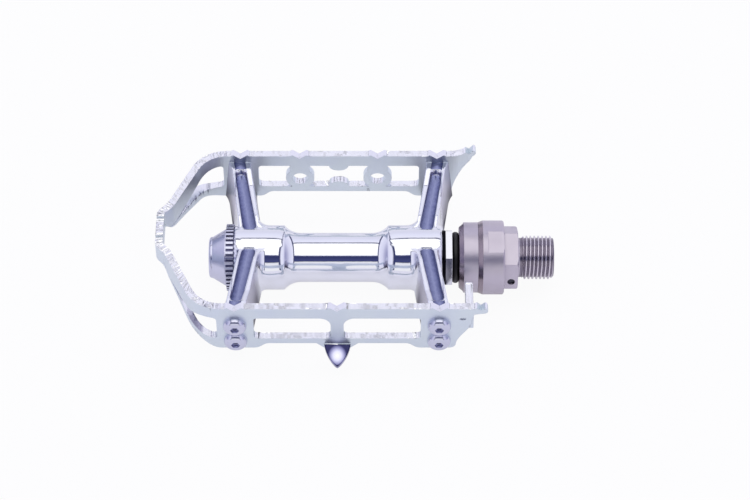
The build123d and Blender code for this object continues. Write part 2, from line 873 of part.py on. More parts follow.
def plate_outline(notches, horn_tip, edge):
    """Draws one side of the cage from the side: rails, horn, and the rising outer end."""
    far_left = end_inside - cage_end
    solid_left = arm_left + solid_width / 2
    solid_right = arm_right - solid_width / 2
    horn_root = (edge[0][0] + horn_round, cage_top - horn_height)
    with BuildLine() as outline:
        Polyline(
            (far_left, end_bottom),
            (far_left, cage_top),
            *notched_top(notches, horn_tip),
            (horn_tip - horn_tip_radius, cage_top),
        )
        ThreePointArc(
            (horn_tip - horn_tip_radius, cage_top),
            (horn_tip, cage_top - horn_tip_radius),
            (horn_tip - horn_tip_radius, cage_top - 2 * horn_tip_radius),
        )
        Polyline((horn_tip - horn_tip_radius, cage_top - 2 * horn_tip_radius), horn_root, edge[0])
        Spline(*edge)
        foot = (edge[-1][0] - foot_round, cage_bottom)
        TangentArc(foot, edge[-1], tangent=(1, 0))
        Line(foot, (solid_right, cage_bottom))
        right_end = (solid_right - solid_run_out, solid_right)
        left_end = (solid_left + solid_run_out, solid_left)
        for inner, outer in (right_end, left_end):
            middle = (inner + outer) / 2
            Bezier((outer, cage_bottom), (middle, cage_bottom), (middle, rail_bottom), (inner, rail_bottom))
        Line((solid_right - solid_run_out, rail_bottom), (solid_left + solid_run_out, rail_bottom))
        rise = (arm_left - solid_width / 2 + end_run_in, cage_bottom)
        step = end_inside + end_shoulder
        Line((solid_left, cage_bottom), rise)
        Bezier(
            rise,
            (rise[0] - end_rise_curve, cage_bottom),
            (step + end_rise_curve, end_band_bottom - end_rise_curve / 2),
            (step - end_run_in, end_band_bottom),
        )
        Polyline((step - end_run_in, end_band_bottom), (end_inside, end_bottom), (far_left, end_bottom))
    make_face(outline.edges())


def window(left, right, left_round, right_round):
    """Draws a window between the rails, with its own rounding at each end."""
    with BuildLine() as outline:
        Polyline(
            (left, window_floor + window_corner),
            (left, window_top - left_round),
        )
        Line((left + left_round, window_top), (right - right_round, window_top))
        Line((right, window_top - right_round), (right, window_floor + window_corner))
        Line((right - window_corner, window_floor), (left + window_corner, window_floor))
        TangentArc((left, window_top - left_round), (left + left_round, window_top), tangent=(0, 1))
        TangentArc((right - right_round, window_top), (right, window_top - right_round), tangent=(1, 0))
        TangentArc((right, window_floor + window_corner), (right - window_corner, window_floor), tangent=(0, -1))
        TangentArc((left + window_corner, window_floor), (left, window_floor + window_corner), tangent=(-1, 0))
    make_face(outline.edges(), mode=Mode.SUBTRACT)


def end_window():
    """Draws the tapering window of the outer end, which narrows to a point along the bend."""
    right = arm_left - solid_width / 2
    tip = (end_inside + end_shoulder - end_run_in, end_band_bottom + end_window_rise)
    with BuildLine() as outline:
        Line((right, window_floor + window_corner), (right, window_top - window_corner))
        RadiusArc((right, window_top - window_corner), (right - window_corner, window_top), -window_corner)
        Bezier(
            (right - window_corner, window_top),
            (right - end_window_curve, window_top),
            (tip[0] + end_window_curve, tip[1] + end_window_rise),
            tip,
        )
        Bezier(
            tip,
            (tip[0] + end_window_curve, tip[1] - end_window_rise),
            (right - end_window_curve, window_floor),
            (right - window_corner, window_floor),
        )
        RadiusArc((right - window_corner, window_floor), (right, window_floor + window_corner), -window_corner)
    make_face(outline.edges(), mode=Mode.SUBTRACT)


rear_edge = [(arm_right + away, height) for away, height in rear_edge_places]
front_edge = [(arm_right + away, height) for away, height in front_edge_places]
rings = [hub_center + side * ring_spacing / 2 for side in (-1, 1)]
with BuildPart() as cage_sides:
    with BuildSketch(Plane.XZ):
        plate_outline((arm_left, hub_center, arm_right), arm_right + rear_horn_reach, rear_edge)
        column = (hub_center - column_width / 2, hub_center + column_width / 2)
        window(arm_left + solid_width / 2, column[0], window_corner, window_round)
        window(column[1], arm_right - solid_width / 2, window_round, window_corner)
        end_window()
        with BuildLine():
            Polyline(
                (hub_center - tab_width / 2, cage_bottom),
                (hub_center + tab_width / 2, cage_bottom),
                (hub_center + tab_width / 2 + tab_root_flare, rail_bottom),
                (hub_center + tab_width / 2 + tab_root_flare, rail_bottom + end_gap),
                (hub_center - tab_width / 2 - tab_root_flare, rail_bottom + end_gap),
                (hub_center - tab_width / 2 - tab_root_flare, rail_bottom),
                close=True,
            )
        make_face()
    extrude(amount=cut_reach)
    with BuildSketch(Plane.XZ):
        plate_outline((arm_left, *rings, arm_right), arm_right + front_horn_reach, front_edge)
        window(arm_left + solid_width / 2, arm_right - solid_width / 2, window_corner, window_corner)
        end_window()
        for place in rings:
            with Locations((place, ring_height)):
                Circle(ring_diameter / 2)
            with Locations((place, ring_height)):
                Rectangle(ring_neck_width, window_top - ring_height + end_gap, align=(Align.CENTER, Align.MIN))
        with Locations((hub_center, window_top)):
            Ellipse(bump_width / 2, bump_height)
        with Locations((hub_center, window_floor)):
            Ellipse(bump_width / 2, bump_height)
        for place in rings:
            with Locations((place, ring_height)):
                Circle(ring_hole_diameter / 2, mode=Mode.SUBTRACT)
    extrude(amount=-cut_reach)

# The flared end runs past the horn's tip, so that the tip is cut square
flare_length_to_tip = arm_right + front_horn_reach - hub_center - flare_start
flare_share = (flare_length_to_tip + flare_overrun) / flare_length_to_tip
with BuildPart() as cage:
    with BuildSketch(Plane.XY.offset(cage_bottom - end_gap)):
        with BuildLine():
            FilletPolyline(
                (arm_right + rear_horn_reach + end_gap, -plate_inside),
                (hub_center - bend_start, -plate_inside),
                (end_inside + end_shoulder, -end_shoulder_width / 2),
                (end_inside, -end_face_width / 2),
                (end_inside, end_face_width / 2),
                (end_inside + end_shoulder, end_shoulder_width / 2),
                (hub_center - bend_start, plate_inside),
                (hub_center + flare_start, plate_inside),
                (arm_right + front_horn_reach + flare_overrun, plate_inside + flare_out * flare_share),
                radius=[
                    bend_radius,
                    shoulder_radius,
                    end_radius,
                    end_radius,
                    shoulder_radius,
                    bend_radius,
                    flare_radius,
                ],
            )
            offset(amount=cage_thickness, side=Side.LEFT)
        make_face()
    extrude(amount=cage_top - cage_bottom + cage_stock)
    add(cage_sides.part, mode=Mode.INTERSECT)
    with BuildSketch(Plane.YZ.offset(end_inside + end_gap)):
        for side in (-1, 1):
            with Locations((side * end_notch_spacing / 2, cage_top)):
                Circle(end_notch_width / 2)
    extrude(amount=-2 * cage_thickness, mode=Mode.SUBTRACT)
    with BuildSketch(Plane.XZ):
        for side_x in (-1, 1):
            for height in screw_heights:
                with Locations((hub_center + side_x * arm_spacing_at_plate / 2, height)):
                    Circle(screw_diameter / 2 + screw_hole_clearance)
    extrude(amount=cut_reach, both=True, mode=Mode.SUBTRACT)
    # The flip tab leaves the plate's foot outwards and a little downwards
    tab_angle = math.degrees(math.atan2(tab_drop, tab_reach))
    tab_length = math.hypot(tab_drop, tab_reach) + cage_thickness / 2
    tab_root = (hub_center, -plate_inside - cage_thickness / 2, cage_bottom + cage_thickness / 2)
    tab_plane = Plane(origin=tab_root, x_dir=(1, 0, 0), z_dir=(0, 0, 1)).rotated((tab_angle, 0, 0))
    with BuildSketch(tab_plane.offset(-cage_thickness / 2)):
        with BuildLine():
            Line((-tab_width / 2, 0), (tab_width / 2, 0))
            for side in (-1, 1):
                Bezier(
                    (side * tab_width / 2, 0),
                    (side * tab_width / 2, -tab_length / 2),
                    (side * tab_point, -tab_length),
                    (0, -tab_length),
                )
        make_face()
    extrude(amount=cage_thickness)
    # The strap guide is bent in from the rear plate's crank-side edge
    guide_right = arm_right + guide_place
    with BuildSketch(Plane.XY.offset(guide_bottom)):
        with Locations((guide_right, -plate_outside + end_gap)):
            Rectangle(guide_width, guide_reach + cage_thickness, align=(Align.MAX, Align.MIN))
    extrude(amount=guide_top - guide_bottom)
    with BuildSketch(Plane.XZ.offset(plate_inside - end_gap)):
        with Locations((guide_right - guide_width - guide_relief_length / 2, guide_top - guide_relief_drop)):
            SlotOverall(guide_relief_length, guide_relief_width)
    extrude(amount=cage_thickness + 2 * end_gap, mode=Mode.SUBTRACT)
    guide_tip = cage.edges().filter_by(Axis.X).filter_by_position(Axis.Y, -plate_inside + end_gap, 0)
    fillet(guide_tip.filter_by_position(Axis.X, guide_right - guide_width, guide_right), guide_round)
cage.part.label = "cage"

os.makedirs("parts", exist_ok=True)
finished = [
    cage.part,
    cage_screws.part,
    pedal_body.part,
    dust_cap.part,
    axle.part,
    *bearing_parts,
    bearing_spacer.part,
    axle_spacer.part,
    hub_seal.part,
    lock_washer.part,
    lock_nut.part,
    o_ring.part,
    adaptor_body.part,
    stop_pin.part,
    nose_ring.part,
    release_collar.part,
    spring_washer.part,
    collar_spring.part,
    locking_balls.part,
]
for part in finished:
    export_step(part, f"parts/{part.label}.step")
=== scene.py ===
# %% [markdown]
# A road bicycle pedal with a quick-release adaptor, dressed for the camera.
# The solid model is the frame: every piece here is a copy of one of its nodes with the edges and the
# cut threads that the real metal has, or the node itself with a finish. This first cell loads the
# frame and keeps its box, which the finished model must not outgrow.

# %% Load the frame
import json
import math
import random

import bmesh
import bpy
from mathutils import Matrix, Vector


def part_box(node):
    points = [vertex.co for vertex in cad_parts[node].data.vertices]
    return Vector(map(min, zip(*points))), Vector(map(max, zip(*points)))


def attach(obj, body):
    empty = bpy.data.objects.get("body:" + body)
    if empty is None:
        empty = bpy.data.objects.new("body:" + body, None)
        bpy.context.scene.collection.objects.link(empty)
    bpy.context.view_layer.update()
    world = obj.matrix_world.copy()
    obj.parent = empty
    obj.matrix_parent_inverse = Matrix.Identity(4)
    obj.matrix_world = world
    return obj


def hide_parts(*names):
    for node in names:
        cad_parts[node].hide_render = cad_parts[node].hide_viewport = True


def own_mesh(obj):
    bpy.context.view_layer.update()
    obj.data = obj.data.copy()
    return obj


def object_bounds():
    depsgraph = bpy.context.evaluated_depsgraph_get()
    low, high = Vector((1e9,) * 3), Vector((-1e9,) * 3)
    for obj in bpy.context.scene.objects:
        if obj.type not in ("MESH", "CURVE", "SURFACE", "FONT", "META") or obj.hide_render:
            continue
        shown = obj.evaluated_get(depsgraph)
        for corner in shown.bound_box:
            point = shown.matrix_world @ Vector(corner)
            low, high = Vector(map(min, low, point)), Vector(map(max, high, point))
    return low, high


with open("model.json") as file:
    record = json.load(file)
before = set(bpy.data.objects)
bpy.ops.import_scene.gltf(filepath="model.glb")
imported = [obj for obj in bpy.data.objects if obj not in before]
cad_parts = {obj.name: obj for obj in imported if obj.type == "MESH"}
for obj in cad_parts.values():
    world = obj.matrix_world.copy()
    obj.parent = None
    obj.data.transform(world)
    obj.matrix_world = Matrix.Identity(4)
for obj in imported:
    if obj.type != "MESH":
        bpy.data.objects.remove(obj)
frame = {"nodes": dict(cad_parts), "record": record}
cad_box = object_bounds()
MM = 0.001

# %% [markdown]
# Every colour is written as the hex value that a picture editor shows, and one function turns it into
# the linear numbers that Blender works in. One more adds a node to a material, with its settings
# and its links, so that each recipe below reads from top to bottom. The third fills in a colour
# ramp's stops, which a node's plain settings can't hold.

# %% Colours and nodes
def linear(hex_colour, alpha=1.0):
    """Turns an sRGB hex colour into linear red, green and blue."""
    parts = [int(hex_colour[i:i + 2], 16) / 255 for i in (1, 3, 5)]
    return [c / 12.92 if c <= 0.04045 else ((c + 0.055) / 1.055) ** 2.4 for c in parts] + [alpha]


def add(tree, kind, settings=None, links=None):
    """Adds a node, sets its properties and sockets, and links sockets to other nodes' outputs."""
    node = tree.nodes.new(kind)
    for key, value in (settings or {}).items():
        if isinstance(key, str) and hasattr(node, key):
            setattr(node, key, value)
        else:
            node.inputs[key].default_value = value
    for key, (other, output) in (links or {}).items():
        tree.links.new(other.outputs[output], node.inputs[key])
    return node


def with_stops(ramp, stops):
    """Gives a colour ramp its (place, hex colour) stops."""
    elements = ramp.color_ramp.elements
    while len(elements) < len(stops):
        elements.new(0.5)
    for element, (place, colour) in zip(elements, stops):
        element.position = place
        element.color = linear(colour)
    return ramp


# %% [markdown]
# The photograph was taken with a long lens from well above the rear plate, square to the axle.
# The lens and the distance come from the thread's known diameter and from how much smaller the
# front plate looks than the rear one.

# %% Camera
CAMERA_HEIGHT_DEG = 50.5
CAMERA_DISTANCE = 880 * MM
FOCUS_PIXELS = 2700
PHOTO_WIDTH = 750
SENSOR_MM = 36.0
AIM_ALONG_AXLE = -47.6 * MM
AIM_ABOVE_AXLE = 2.42 * MM

height = math.radians(CAMERA_HEIGHT_DEG)
to_camera = Vector((0, -math.cos(height), math.sin(height)))
picture_up = Vector((0, math.sin(height), math.cos(height)))
camera_data = bpy.data.cameras.new("camera")
camera_data.sensor_width = SENSOR_MM
camera_data.lens = SENSOR_MM * FOCUS_PIXELS / PHOTO_WIDTH
camera = bpy.data.objects.new("camera", camera_data)
camera.location = Vector((AIM_ALONG_AXLE, 0, 0)) + picture_up * AIM_ABOVE_AXLE + to_camera * CAMERA_DISTANCE
camera.rotation_euler = (math.radians(90 - CAMERA_HEIGHT_DEG), 0, 0)
bpy.context.scene.collection.objects.link(camera)
bpy.context.scene.camera = camera
bpy.context.scene.view_settings.view_transform = "Standard"
print("lens", round(camera_data.lens, 1), "mm")

# %% [markdown]
# Polished metal shows little of itself: what the eye reads is the room mirrored in it. The room
# here is a light tent, drawn by the direction that a ray leaves in. Its stops go once round the
# axle: 0 is the horizon at the rear, 0.25 straight down, 0.5 the horizon in front, 0.75 straight up
# and 1 the rear again. Upwards from the front they are a white wall, a dark gap for the camera, a
# broad white ceiling panel with a dark edge, and a lavender rear.

# %% Colours along the tent's arch
TENT_STOPS = (
    (0.0, "#c4c4cd"),
    (0.40, "#d7d7dc"),
    (0.487, "#e1e1e1"),
    (0.490, "#898ba0"),
    (0.494, "#e1e1e1"),
    (0.583, "#d9d9dc"),
    (0.589, "#33365a"),
    (0.600, "#3f446e"),
    (0.650, "#2e3258"),
    (0.661, "#4f537d"),
    (0.667, "#ffffff"),
    (0.832, "#ffffff"),
    (0.835, "#34385e"),
    (0.846, "#34385e"),
    (0.850, "#dfdfe9"),
    (0.890, "#d6d7e5"),
    (0.930, "#cdcddb"),
    (1.0, "#d6d6dc"),
)

world = bpy.data.worlds.new("light_tent")
bpy.context.scene.world = world
world.use_nodes = True
tree = world.node_tree
tree.nodes.clear()
place = add(tree, "ShaderNodeTexCoord")
parts = add(tree, "ShaderNodeSeparateXYZ", links={0: (place, "Generated")})
front = add(tree, "ShaderNodeMath", {"operation": "MULTIPLY", 1: -1.0}, {0: (parts, "Y")})
angle = add(tree, "ShaderNodeMath", {"operation": "ARCTAN2"}, {0: (parts, "Z"), 1: (front, 0)})
share = add(tree, "ShaderNodeMapRange", {"From Min": -math.pi, "From Max": math.pi}, {"Value": (angle, 0)})
arch = with_stops(add(tree, "ShaderNodeValToRGB", links={"Fac": (share, 0)}), TENT_STOPS)

# %% [markdown]
# A tent has ends as well. Along the axle, past the panel's edge, a ray meets a dark frame first and
# then the pale cloth of the end, which dims towards its middle. Surfaces that curve away along the
# axle mirror them. Rays from the camera itself see plain white, so the background stays clean.

# %% Ends of the tent and plain background
SIDE_STOPS = (
    (0.0, "#34385e"),
    (0.56, "#34385e"),
    (0.60, "#dadae8"),
    (0.85, "#c9c9dc"),
    (1.0, "#8f8fb0"),
)
PANEL_HALF = 0.5
TENT_STRENGTH = 1.3

aside = add(tree, "ShaderNodeMath", {"operation": "ABSOLUTE"}, {0: (parts, "X")})
sides = with_stops(add(tree, "ShaderNodeValToRGB", links={"Fac": (aside, 0)}), SIDE_STOPS)
beside = add(tree, "ShaderNodeMath", {"operation": "GREATER_THAN", 1: PANEL_HALF}, {0: (aside, 0)})
tent = add(
    tree,
    "ShaderNodeMix",
    {"data_type": "RGBA"},
    {0: (beside, 0), 6: (arch, "Color"), 7: (sides, "Color")},
)
tent_light = add(tree, "ShaderNodeBackground", {"Strength": TENT_STRENGTH}, {"Color": (tent, 2)})
plain = add(tree, "ShaderNodeBackground", {"Color": linear("#ffffff"), "Strength": 1.0})
ray = add(tree, "ShaderNodeLightPath")
mixed = add(
    tree,
    "ShaderNodeMixShader",
    links={0: (ray, "Is Camera Ray"), 1: (tent_light, 0), 2: (plain, 0)},
)
add(tree, "ShaderNodeOutputWorld", links={"Surface": (mixed, 0)})

# %% [markdown]
# One large soft lamp overhead gives the pale metal its gentle shading and the floor its shadow. It
# is kept out of the mirrored room, because the tent's panel already shows there.

# %% Lamp
LAMP_WIDTH = 900 * MM
LAMP_HEIGHT = 700 * MM
LAMP_BEHIND = 100 * MM
LAMP_POWER = 2.2

lamp_data = bpy.data.lights.new("overhead_panel", "AREA")
lamp_data.shape = "RECTANGLE"
lamp_data.size = LAMP_WIDTH
lamp_data.size_y = LAMP_WIDTH
lamp_data.energy = LAMP_POWER
lamp = bpy.data.objects.new("overhead_panel", lamp_data)
lamp.location = (AIM_ALONG_AXLE, LAMP_BEHIND, LAMP_HEIGHT)
lamp.visible_glossy = False
bpy.context.scene.collection.objects.link(lamp)

# %% [markdown]
# The floor is a sheet of white paper. It lies just under the lowest point of the pedal.

# %% Floor
FLOOR_HALF = 3.0
FLOOR_GAP = 0.3 * MM

floor_height = cad_box[0][2] - FLOOR_GAP
corners = [(-1, -1), (1, -1), (1, 1), (-1, 1)]
floor_mesh = bpy.data.meshes.new("floor")
places = [(x * FLOOR_HALF, y * FLOOR_HALF, floor_height) for x, y in corners]
floor_mesh.from_pydata(places, [], [(0, 1, 2, 3)])
floor = bpy.data.objects.new("floor", floor_mesh)
bpy.context.scene.collection.objects.link(floor)

# %% [markdown]
# Paper that is only lit never comes out as white as a studio background. So the paper glows by a
# share: nearly fully for the camera's own rays, which leaves a soft shadow, and by half for rays
# that the metal mirrors, so that undersides come out darker than tops.

# %% White paper
CAMERA_WHITE = 0.94
MIRROR_WHITE = 0.5

paper = bpy.data.materials.new("white_paper")
paper.use_nodes = True
tree = paper.node_tree
tree.nodes.clear()
diffuse = add(tree, "ShaderNodeBsdfDiffuse", {"Color": linear("#d3d1e2")})
glow = add(tree, "ShaderNodeEmission", {"Color": linear("#ffffff"), "Strength": 1.0})
ray = add(tree, "ShaderNodeLightPath")
seen = add(tree, "ShaderNodeMath", {"operation": "MULTIPLY", 1: CAMERA_WHITE}, {0: (ray, "Is Camera Ray")})
mirrored = add(tree, "ShaderNodeMath", {"operation": "MULTIPLY", 1: MIRROR_WHITE}, {0: (ray, "Is Glossy Ray")})
white = add(tree, "ShaderNodeMath", {"operation": "MAXIMUM"}, {0: (seen, 0), 1: (mirrored, 0)})
sheet = add(tree, "ShaderNodeMixShader", links={0: (white, 0), 1: (diffuse, 0), 2: (glow, 0)})
add(tree, "ShaderNodeOutputMaterial", links={"Surface": (sheet, 0)})
floor_mesh.materials.append(paper)

# %% [markdown]
# Metals differ in how they were finished. A polished face is nearly a mirror; a tumbled and
# anodised one scatters light through tiny dents; a turned one keeps the tool's fine rings round
# its axis. This one recipe makes all three: the grain's size is a real one, and the rings are
# noise that is stretched round the axle. A wide, faint cloud changes the colour a little, and every
# edge is softened in the shading, as wear and polishing round it on the real piece.

# %% Metal recipe
EDGE_SAMPLES = 8
EDGE_MM = 0.15
CLOUD_SIZE = 9 * MM
SMOOTHER = 0.92
ROUGHER = 1.1


def metal(
    name, colour, roughness, grain_mm, grain_depth, rings_mm=0.0, ring_depth=0.0, tint=None, edge_mm=EDGE_MM
):
    """Makes a metal with a grain of a real size, soft edges and, if asked, turned rings round the axle."""
    material = bpy.data.materials.new(name)
    material.use_nodes = True
    tree = material.node_tree
    tree.nodes.clear()
    where = add(tree, "ShaderNodeTexCoord")
    grain = add(
        tree,
        "ShaderNodeTexNoise",
        {"Scale": 1 / (grain_mm * MM), "Detail": 3.0, "Roughness": 0.6},
        {"Vector": (where, "Object")},
    )
    cloud = add(
        tree, "ShaderNodeTexNoise", {"Scale": 1 / CLOUD_SIZE, "Detail": 2.0}, {"Vector": (where, "Object")}
    )
    colours = add(tree, "ShaderNodeMix", {"data_type": "RGBA"}, {"Factor": (cloud, "Fac")})
    colours.inputs[6].default_value = linear(colour)
    colours.inputs[7].default_value = linear(tint or colour)
    rough = add(
        tree,
        "ShaderNodeMapRange",
        {"To Min": roughness * SMOOTHER, "To Max": roughness * ROUGHER},
        {"Value": (grain, "Fac")},
    )
    edges = add(tree, "ShaderNodeBevel", {"samples": EDGE_SAMPLES, "Radius": edge_mm * MM})
    bump = add(
        tree,
        "ShaderNodeBump",
        {"Strength": grain_depth, "Distance": grain_mm * MM},
        {"Height": (grain, "Fac"), "Normal": (edges, 0)},
    )
    if rings_mm:
        parts = add(tree, "ShaderNodeSeparateXYZ", links={0: (where, "Object")})
        y_squared = add(tree, "ShaderNodeMath", {"operation": "POWER", 1: 2.0}, {0: (parts, "Y")})
        z_squared = add(tree, "ShaderNodeMath", {"operation": "POWER", 1: 2.0}, {0: (parts, "Z")})
        total = add(tree, "ShaderNodeMath", {"operation": "ADD"}, {0: (y_squared, 0), 1: (z_squared, 0)})
        radius = add(tree, "ShaderNodeMath", {"operation": "SQRT"}, {0: (total, 0)})
        turned = add(tree, "ShaderNodeCombineXYZ", links={"X": (parts, "X"), "Y": (radius, 0)})
        rings = add(
            tree,
            "ShaderNodeTexNoise",
            {"Scale": 1 / (rings_mm * MM), "Detail": 2.0},
            {"Vector": (turned, 0)},
        )
        bump = add(
            tree,
            "ShaderNodeBump",
            {"Strength": ring_depth, "Distance": rings_mm * MM},
            {"Height": (rings, "Fac"), "Normal": (bump, 0)},
        )
    shader = add(
        tree,
        "ShaderNodeBsdfPrincipled",
        {"Metallic": 1.0},
        {"Base Color": (colours, 2), "Roughness": (rough, 0), "Normal": (bump, 0)},
    )
    add(tree, "ShaderNodeOutputMaterial", links={"Surface": (shader, 0)})
    return material


# %% [markdown]
# The pedal has two kinds of aluminium work, polished and satin, and its steel is polished, chromed,
# ground, drawn or nickel-plated. Rubber takes the same recipe, with its metal turned off.

# %% Metals of the pedal
polished_aluminium = metal("polished_aluminium", "#f1f2f8", 0.045, 1.2, 0.006, tint="#e9eaf4", edge_mm=0.9)
satin_aluminium = metal("satin_anodised_aluminium", "#dfe8ea", 0.34, 0.35, 0.06, tint="#d6deeb")
cut_edge = metal("sheared_aluminium", "#fbfbfd", 0.20, 0.35, 0.04, tint="#eeeef5", edge_mm=0.05)
cap_aluminium = metal("turned_aluminium", "#d9d9ea", 0.24, 0.5, 0.05, 0.12, 0.12, tint="#cfd0e4")
screw_steel = metal("polished_steel", "#d5d6e6", 0.12, 0.6, 0.03, tint="#c9cade")
axle_steel = metal("chromed_steel", "#e2e2e8", 0.08, 0.8, 0.02, tint="#d4d4de")
adaptor_steel = metal("brushed_nickel_plated_steel", "#d2cad6", 0.37, 0.4, 0.004, 0.20, 0.03, tint="#b6aebd")
thread_steel = metal("cut_thread_steel", "#ded8e0", 0.2, 0.4, 0.01, 0.08, 0.05, tint="#cfc8d2", edge_mm=0.05)
bearing_steel = metal("ground_bearing_steel", "#d8d8dc", 0.12, 0.3, 0.03)
spring_steel = metal("drawn_spring_steel", "#a8a8b0", 0.3, 0.3, 0.08)
pin_steel = metal("blackened_steel", "#3b3b46", 0.25, 0.3, 0.08)
rubber = metal("nitrile_rubber", "#050508", 0.45, 0.3, 0.06)
rubber.node_tree.nodes["Principled BSDF"].inputs["Metallic"].default_value = 0.0

# %% [markdown]
# Some places on a metal keep another finish than what is round them, where a polishing wheel can't
# reach. Many also get painted light: a darker colour for painted shade, or rings of colour for a
# painted reflection. One function mixes such a finish and colour in by a mask. The masks below find
# their place by position and by where the surface faces, both in the piece's own coordinates, so
# that they stay put when the pedal turns. A second function measures how far a point lies from the
# axle, which finds the bottoms of knurls and threads.

# %% Another finish and painted light on part of a metal
def refinish_and_paint_light(material, mask, colour, roughness):
    """Gives the masked part of a metal another roughness and a colour, plain or from a colour ramp."""
    tree = material.node_tree
    shader = tree.nodes["Principled BSDF"]
    plain_colour = shader.inputs["Base Color"].links[0].from_socket
    plain_rough = shader.inputs["Roughness"].links[0].from_socket
    colours = add(tree, "ShaderNodeMix", {"data_type": "RGBA"}, {0: (mask, 0)})
    if isinstance(colour, str):
        colours.inputs[7].default_value = linear(colour)
    else:
        tree.links.new(colour.outputs["Color"], colours.inputs[7])
    tree.links.new(plain_colour, colours.inputs[6])
    tree.links.new(colours.outputs[2], shader.inputs["Base Color"])
    roughs = add(tree, "ShaderNodeMix", {"data_type": "FLOAT", 3: roughness}, {0: (mask, 0)})
    tree.links.new(plain_rough, roughs.inputs[2])
    tree.links.new(roughs.outputs[0], shader.inputs["Roughness"])


def axle_distance(tree):
    """Measures how far a point of the surface lies from the axle."""
    where = add(tree, "ShaderNodeTexCoord")
    parts = add(tree, "ShaderNodeSeparateXYZ", links={0: (where, "Object")})
    radial = add(tree, "ShaderNodeCombineXYZ", links={"Y": (parts, "Y"), "Z": (parts, "Z")})
    return add(tree, "ShaderNodeVectorMath", {"operation": "LENGTH"}, {0: (radial, 0)})


# %% [markdown]
# The arms come out of the forging die, and only their tops and the hub are polished. Their steep
# sides therefore stay forged and rougher. Their colour is painted shade, darker towards the bottom,
# where less light gets in. The finish starts beside the hub and comes up gradually, as the wheel
# leaves it.

# %% Forged flanks of the arms, with painted shade
FLANK_SHADE_STOPS = (
    (0.0, "#2c2a36"),
    (0.3, "#6d6a7a"),
    (0.6, "#aaa7b8"),
    (1.0, "#c9c6d8"),
)
FLANK_LOW = -5.0 * MM
FLANK_HIGH = 11.0 * MM
FLANK_FACING = 0.75
HUB_SIDE = 10.5 * MM
BLEND = 6.0 * MM

tree = polished_aluminium.node_tree
where = add(tree, "ShaderNodeTexCoord")
parts = add(tree, "ShaderNodeSeparateXYZ", links={0: (where, "Object")})
facing = add(tree, "ShaderNodeSeparateXYZ", links={0: (where, "Normal")})
sideways = add(tree, "ShaderNodeMath", {"operation": "ABSOLUTE"}, {0: (facing, "X")})
steep = add(tree, "ShaderNodeMath", {"operation": "GREATER_THAN", 1: FLANK_FACING}, {0: (sideways, 0)})
outward = add(tree, "ShaderNodeMath", {"operation": "ABSOLUTE"}, {0: (parts, "Y")})
beyond_hub = add(
    tree, "ShaderNodeMapRange", {"From Min": HUB_SIDE, "From Max": HUB_SIDE + BLEND}, {0: (outward, 0)}
)
# Painted shade: the colour ramp below darkens the forged flanks towards the bottom.
forged_shaded_flanks = add(tree, "ShaderNodeMath", {"operation": "MULTIPLY"}, {0: (steep, 0), 1: (beyond_hub, 0)})
rise = add(tree, "ShaderNodeMapRange", {"From Min": FLANK_LOW, "From Max": FLANK_HIGH}, {0: (parts, "Z")})
shades = with_stops(add(tree, "ShaderNodeValToRGB", links={"Fac": (rise, 0)}), FLANK_SHADE_STOPS)
refinish_and_paint_light(polished_aluminium, forged_shaded_flanks, shades, 0.3)

# %% [markdown]
# Each arm has a channel along its top and another along its underside, as deep as the die made it.
# A level surface at one of the two floors' heights is such a floor.

# %% Floors of the grooves
GROOVE_FLOOR = 9.2 * MM
LOWER_GROOVE_FLOOR = -2.3 * MM
NEAR = 0.25 * MM
LEVEL_FACING = 0.97

flat = add(tree, "ShaderNodeMath", {"operation": "ABSOLUTE"}, {0: (facing, "Z")})
level = add(tree, "ShaderNodeMath", {"operation": "GREATER_THAN", 1: LEVEL_FACING}, {0: (flat, 0)})
upper = add(tree, "ShaderNodeMath", {"operation": "COMPARE", 1: GROOVE_FLOOR, 2: NEAR}, {0: (parts, "Z")})
lower = add(
    tree, "ShaderNodeMath", {"operation": "COMPARE", 1: LOWER_GROOVE_FLOOR, 2: NEAR}, {0: (parts, "Z")}
)
either = add(tree, "ShaderNodeMath", {"operation": "MAXIMUM"}, {0: (upper, 0), 1: (lower, 0)})
floors = add(tree, "ShaderNodeMath", {"operation": "MULTIPLY"}, {0: (level, 0), 1: (either, 0)})

# %% [markdown]
# In the photograph the channel's matt floor runs on to the plate. The solid channel ends a little
# before it, so a strip as wide as the channel goes over the pad's top. The arms splay outwards from
# the hub, and the strip follows their middle line.

# %% Strips over the pads
HUB_CENTER = -59.6 * MM
ARM_FOOT = 27.81 * MM
ARM_SPLAY = 0.1566
GROOVE_HALF = 1.9 * MM
PAD_START = 27.3 * MM
PAD_FACING = 0.9

centred = add(tree, "ShaderNodeMath", {"operation": "ADD", 1: -HUB_CENTER}, {0: (parts, "X")})
aside = add(tree, "ShaderNodeMath", {"operation": "ABSOLUTE"}, {0: (centred, 0)})
middle = add(
    tree, "ShaderNodeMath", {"operation": "MULTIPLY_ADD", 1: ARM_SPLAY, 2: ARM_FOOT}, {0: (outward, 0)}
)
across = add(tree, "ShaderNodeMath", {"operation": "SUBTRACT"}, {0: (aside, 0), 1: (middle, 0)})
inside = add(tree, "ShaderNodeMath", {"operation": "COMPARE", 1: 0.0, 2: GROOVE_HALF}, {0: (across, 0)})
on_pad = add(tree, "ShaderNodeMath", {"operation": "GREATER_THAN", 1: PAD_START}, {0: (outward, 0)})
strip = add(tree, "ShaderNodeMath", {"operation": "MULTIPLY"}, {0: (inside, 0), 1: (on_pad, 0)})
raised = add(tree, "ShaderNodeMath", {"operation": "GREATER_THAN", 1: PAD_FACING}, {0: (facing, "Z")})
top_strip = add(tree, "ShaderNodeMath", {"operation": "MULTIPLY"}, {0: (strip, 0), 1: (raised, 0)})
groove = add(tree, "ShaderNodeMath", {"operation": "MAXIMUM"}, {0: (floors, 0), 1: (top_strip, 0)})
